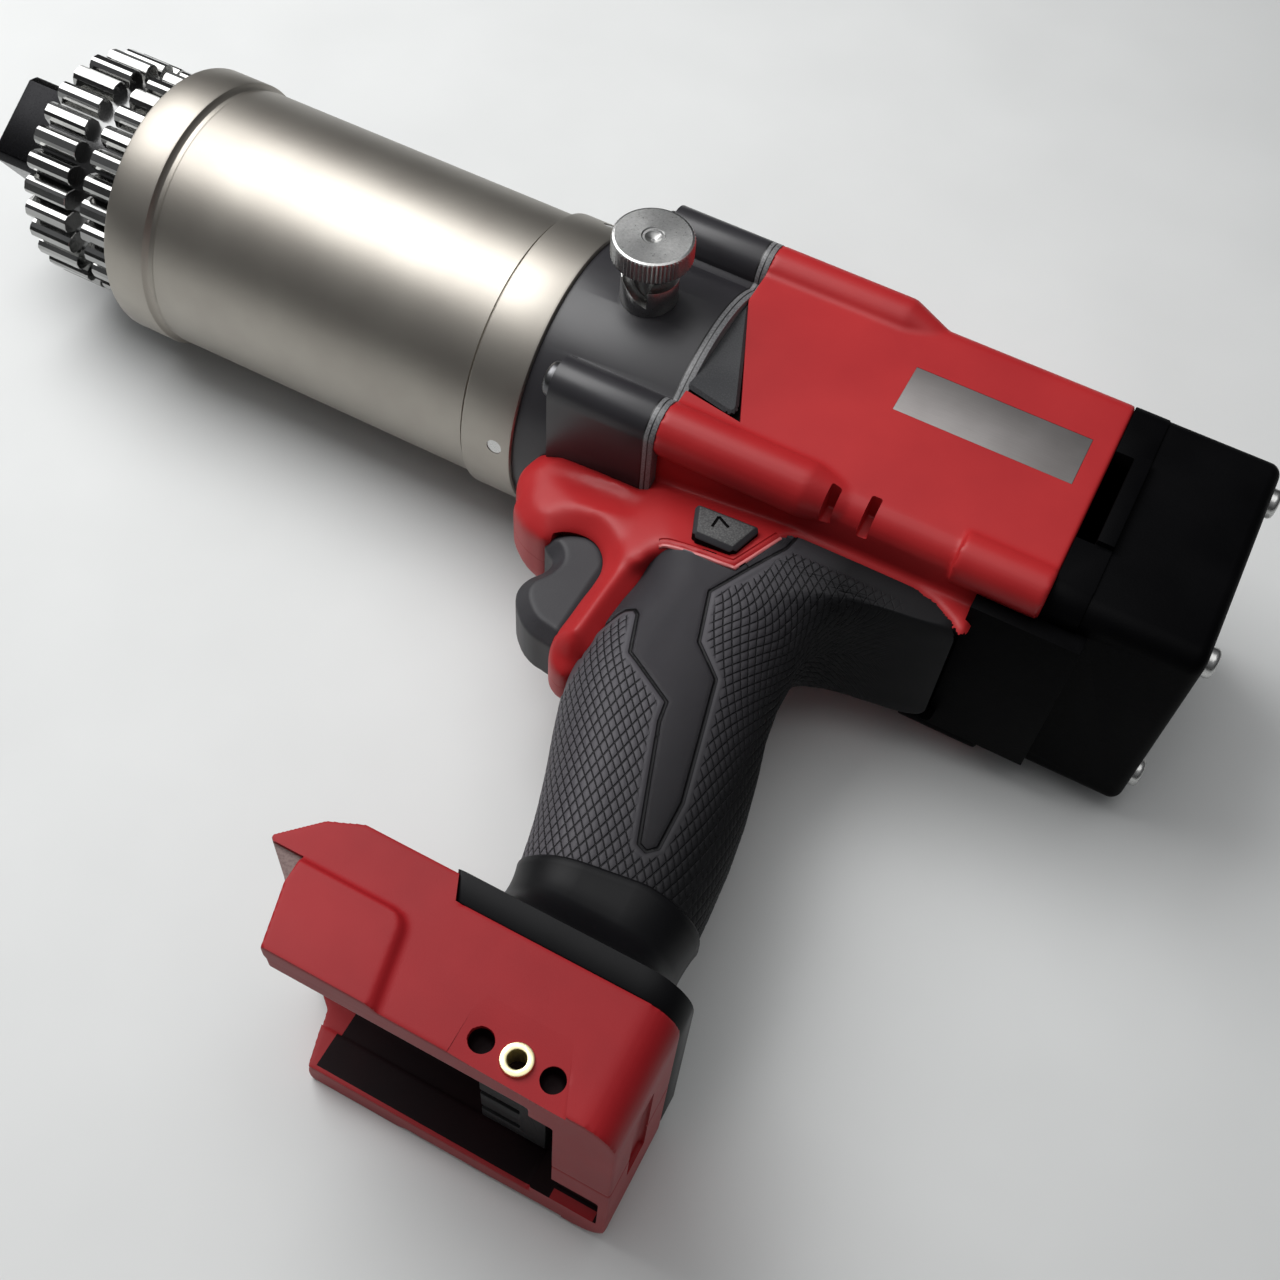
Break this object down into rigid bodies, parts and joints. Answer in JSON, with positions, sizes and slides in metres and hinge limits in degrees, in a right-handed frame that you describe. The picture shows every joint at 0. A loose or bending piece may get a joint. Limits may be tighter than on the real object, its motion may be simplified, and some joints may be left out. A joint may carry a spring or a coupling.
{
  "type": "battery torque gun",
  "caption": "Pistol-grip battery torque gun with a square drive, a toothed reaction ring, a long planetary gearbox, a shift knob, a trigger and an empty battery foot.",
  "frame": {"origin": "on the drive axis, at the front face of the gearbox sleeve", "axes": "+X back along the drive axis, +Y to the top of the tool, +Z to its left, which is up as it lies"},
  "size_m": [0.3466, 0.2171, 0.0927],
  "materials": {
    "spline_chrome": "bright, hard-chromed",
    "drive_black": "black oxide, lightly oiled",
    "sleeve_nickel": "satin turned, warm nickel",
    "gear_steel": "machined",
    "collar_black": "fine-textured black",
    "knob_steel": "turned face, bright edge",
    "screw_steel": "plain",
    "gasket_grey": "fibre plate",
    "housing_red": "semi-matt moulded",
    "dark_plastic": "fine mould texture",
    "rear_black": "grained black",
    "grip_rubber": "diamond texture",
    "inlay_rubber": "smooth, fine grain",
    "plate_silver": "bare plate",
    "insert_brass": "plain",
    "winding_copper": "enamelled wire",
    "board_green": "circuit board",
    "seal_rubber": "plain"
  },
  "bodies": {
    "tool_body": {"reaction_spline_ring": "spline_chrome", "spindle_bush": "insert_brass", "spindle_seal": "seal_rubber", "gearbox_sleeve": "sleeve_nickel", "sleeve_grub_screws": "screw_steel", "output_ring_gear": "gear_steel", "middle_ring_gear": "gear_steel", "drive_collar": "collar_black", "collar_screws": "collar_black", "shift_bush": "knob_steel", "gasket_plate": "gasket_grey", "front_motor_bearing": "gear_steel", "rear_motor_bearing": "gear_steel", "stator_core": "gear_steel", "stator_windings": "winding_copper", "housing_left": "housing_red", "housing_right": "housing_red", "window_insert_left": "dark_plastic", "window_insert_right": "dark_plastic", "name_plate": "plate_silver", "rear_belt": "rear_black", "rear_cover": "rear_black", "rear_cover_screws": "screw_steel", "control_board": "board_green", "grip_rubber_left": "grip_rubber", "grip_rubber_right": "grip_rubber", "grip_inlay_left": "inlay_rubber", "grip_inlay_right": "inlay_rubber", "trigger_switch": "dark_plastic", "trigger_spring": "gear_steel", "battery_foot_left": "housing_red", "battery_foot_right": "housing_red", "clamshell_screws": "screw_steel", "clip_insert": "insert_brass", "terminal_block": "dark_plastic", "terminal_blades": "insert_brass", "power_leads": "seal_rubber"},
    "rotor": {"motor_shaft": "gear_steel", "rotor_core": "gear_steel", "motor_fan": "dark_plastic"},
    "input_stage": {"input_carrier": "gear_steel", "input_planet_pins": "gear_steel"},
    "middle_stage": {"middle_carrier": "gear_steel", "middle_planet_pins": "gear_steel"},
    "output_drive": {"output_spindle": "drive_black", "output_planet_pins": "gear_steel"},
    "shift_ring": {"shift_ring": "gear_steel"},
    "shift_knob": {"shift_knob": "knob_steel"},
    "trigger": {"trigger": "dark_plastic"},
    "direction_button": {"direction_button": "dark_plastic"},
    "input_planet_1": {"input_planet_1": "gear_steel"},
    "input_planet_2": {"input_planet_2": "gear_steel"},
    "input_planet_3": {"input_planet_3": "gear_steel"},
    "middle_planet_1": {"middle_planet_1": "gear_steel"},
    "middle_planet_2": {"middle_planet_2": "gear_steel"},
    "middle_planet_3": {"middle_planet_3": "gear_steel"},
    "output_planet_1": {"output_planet_1": "gear_steel"},
    "output_planet_2": {"output_planet_2": "gear_steel"},
    "output_planet_3": {"output_planet_3": "gear_steel"}
  },
  "joints": [
    {"name": "rotor_spin", "type": "hinge", "parent": "tool_body", "child": "rotor", "pos_m": [0.2, 0, 0], "axis": [1, 0, 0], "continuous": true},
    {"name": "input_spin", "type": "hinge", "parent": "tool_body", "child": "input_stage", "pos_m": [0.134, 0, 0], "axis": [1, 0, 0], "continuous": true},
    {"name": "input_planet_1_spin", "type": "hinge", "parent": "input_stage", "child": "input_planet_1", "pos_m": [0.134, 0.01688, 0], "axis": [1, 0, 0], "continuous": true},
    {"name": "input_planet_2_spin", "type": "hinge", "parent": "input_stage", "child": "input_planet_2", "pos_m": [0.134, -0.00844, 0.01461], "axis": [1, 0, 0], "continuous": true},
    {"name": "input_planet_3_spin", "type": "hinge", "parent": "input_stage", "child": "input_planet_3", "pos_m": [0.134, -0.00844, -0.01461], "axis": [1, 0, 0], "continuous": true},
    {"name": "middle_spin", "type": "hinge", "parent": "tool_body", "child": "middle_stage", "pos_m": [0.091, 0, 0], "axis": [1, 0, 0], "continuous": true},
    {"name": "middle_planet_1_spin", "type": "hinge", "parent": "middle_stage", "child": "middle_planet_1", "pos_m": [0.091, 0.01688, 0], "axis": [1, 0, 0], "continuous": true},
    {"name": "middle_planet_2_spin", "type": "hinge", "parent": "middle_stage", "child": "middle_planet_2", "pos_m": [0.091, -0.00844, 0.01461], "axis": [1, 0, 0], "continuous": true},
    {"name": "middle_planet_3_spin", "type": "hinge", "parent": "middle_stage", "child": "middle_planet_3", "pos_m": [0.091, -0.00844, -0.01461], "axis": [1, 0, 0], "continuous": true},
    {"name": "output_spin", "type": "hinge", "parent": "tool_body", "child": "output_drive", "pos_m": [0.043, 0, 0], "axis": [1, 0, 0], "continuous": true},
    {"name": "output_planet_1_spin", "type": "hinge", "parent": "output_drive", "child": "output_planet_1", "pos_m": [0.043, 0.01688, 0], "axis": [1, 0, 0], "continuous": true},
    {"name": "output_planet_2_spin", "type": "hinge", "parent": "output_drive", "child": "output_planet_2", "pos_m": [0.043, -0.00844, 0.01461], "axis": [1, 0, 0], "continuous": true},
    {"name": "output_planet_3_spin", "type": "hinge", "parent": "output_drive", "child": "output_planet_3", "pos_m": [0.043, -0.00844, -0.01461], "axis": [1, 0, 0], "continuous": true},
    {"name": "knob_turn", "type": "hinge", "parent": "tool_body", "child": "shift_knob", "pos_m": [0.1401, 0, 0.048], "axis": [0, 0, 1], "range_deg": [0, 180]},
    {"name": "shift_ring_slide", "type": "slide", "parent": "tool_body", "child": "shift_ring", "axis": [1, 0, 0], "range_m": [-0.006, 0]},
    {"name": "trigger_slide", "type": "slide", "parent": "tool_body", "child": "trigger", "axis": [1, 0, 0], "range_m": [0, 0.006], "stiffness_N_per_m": 900, "springref_m": -0.003, "deforming": ["trigger_spring"]},
    {"name": "direction_slide", "type": "slide", "parent": "tool_body", "child": "direction_button", "axis": [0, 0, 1], "range_m": [-0.003, 0.003]}
  ],
  "couplings": [
    {"joint": "input_spin", "follows": "rotor_spin", "ratio": 0.22222},
    {"joint": "input_planet_1_spin", "follows": "rotor_spin", "ratio": -0.62222},
    {"joint": "input_planet_2_spin", "follows": "rotor_spin", "ratio": -0.62222},
    {"joint": "input_planet_3_spin", "follows": "rotor_spin", "ratio": -0.62222},
    {"joint": "middle_spin", "follows": "rotor_spin", "ratio": 0.049383},
    {"joint": "middle_planet_1_spin", "follows": "rotor_spin", "ratio": -0.13827},
    {"joint": "middle_planet_2_spin", "follows": "rotor_spin", "ratio": -0.13827},
    {"joint": "middle_planet_3_spin", "follows": "rotor_spin", "ratio": -0.13827},
    {"joint": "output_spin", "follows": "rotor_spin", "ratio": 0.010974},
    {"joint": "output_planet_1_spin", "follows": "rotor_spin", "ratio": -0.030727},
    {"joint": "output_planet_2_spin", "follows": "rotor_spin", "ratio": -0.030727},
    {"joint": "output_planet_3_spin", "follows": "rotor_spin", "ratio": -0.030727},
    {"joint": "knob_turn", "follows": "shift_ring_slide", "rad_per_m": -523.6}
  ]
}
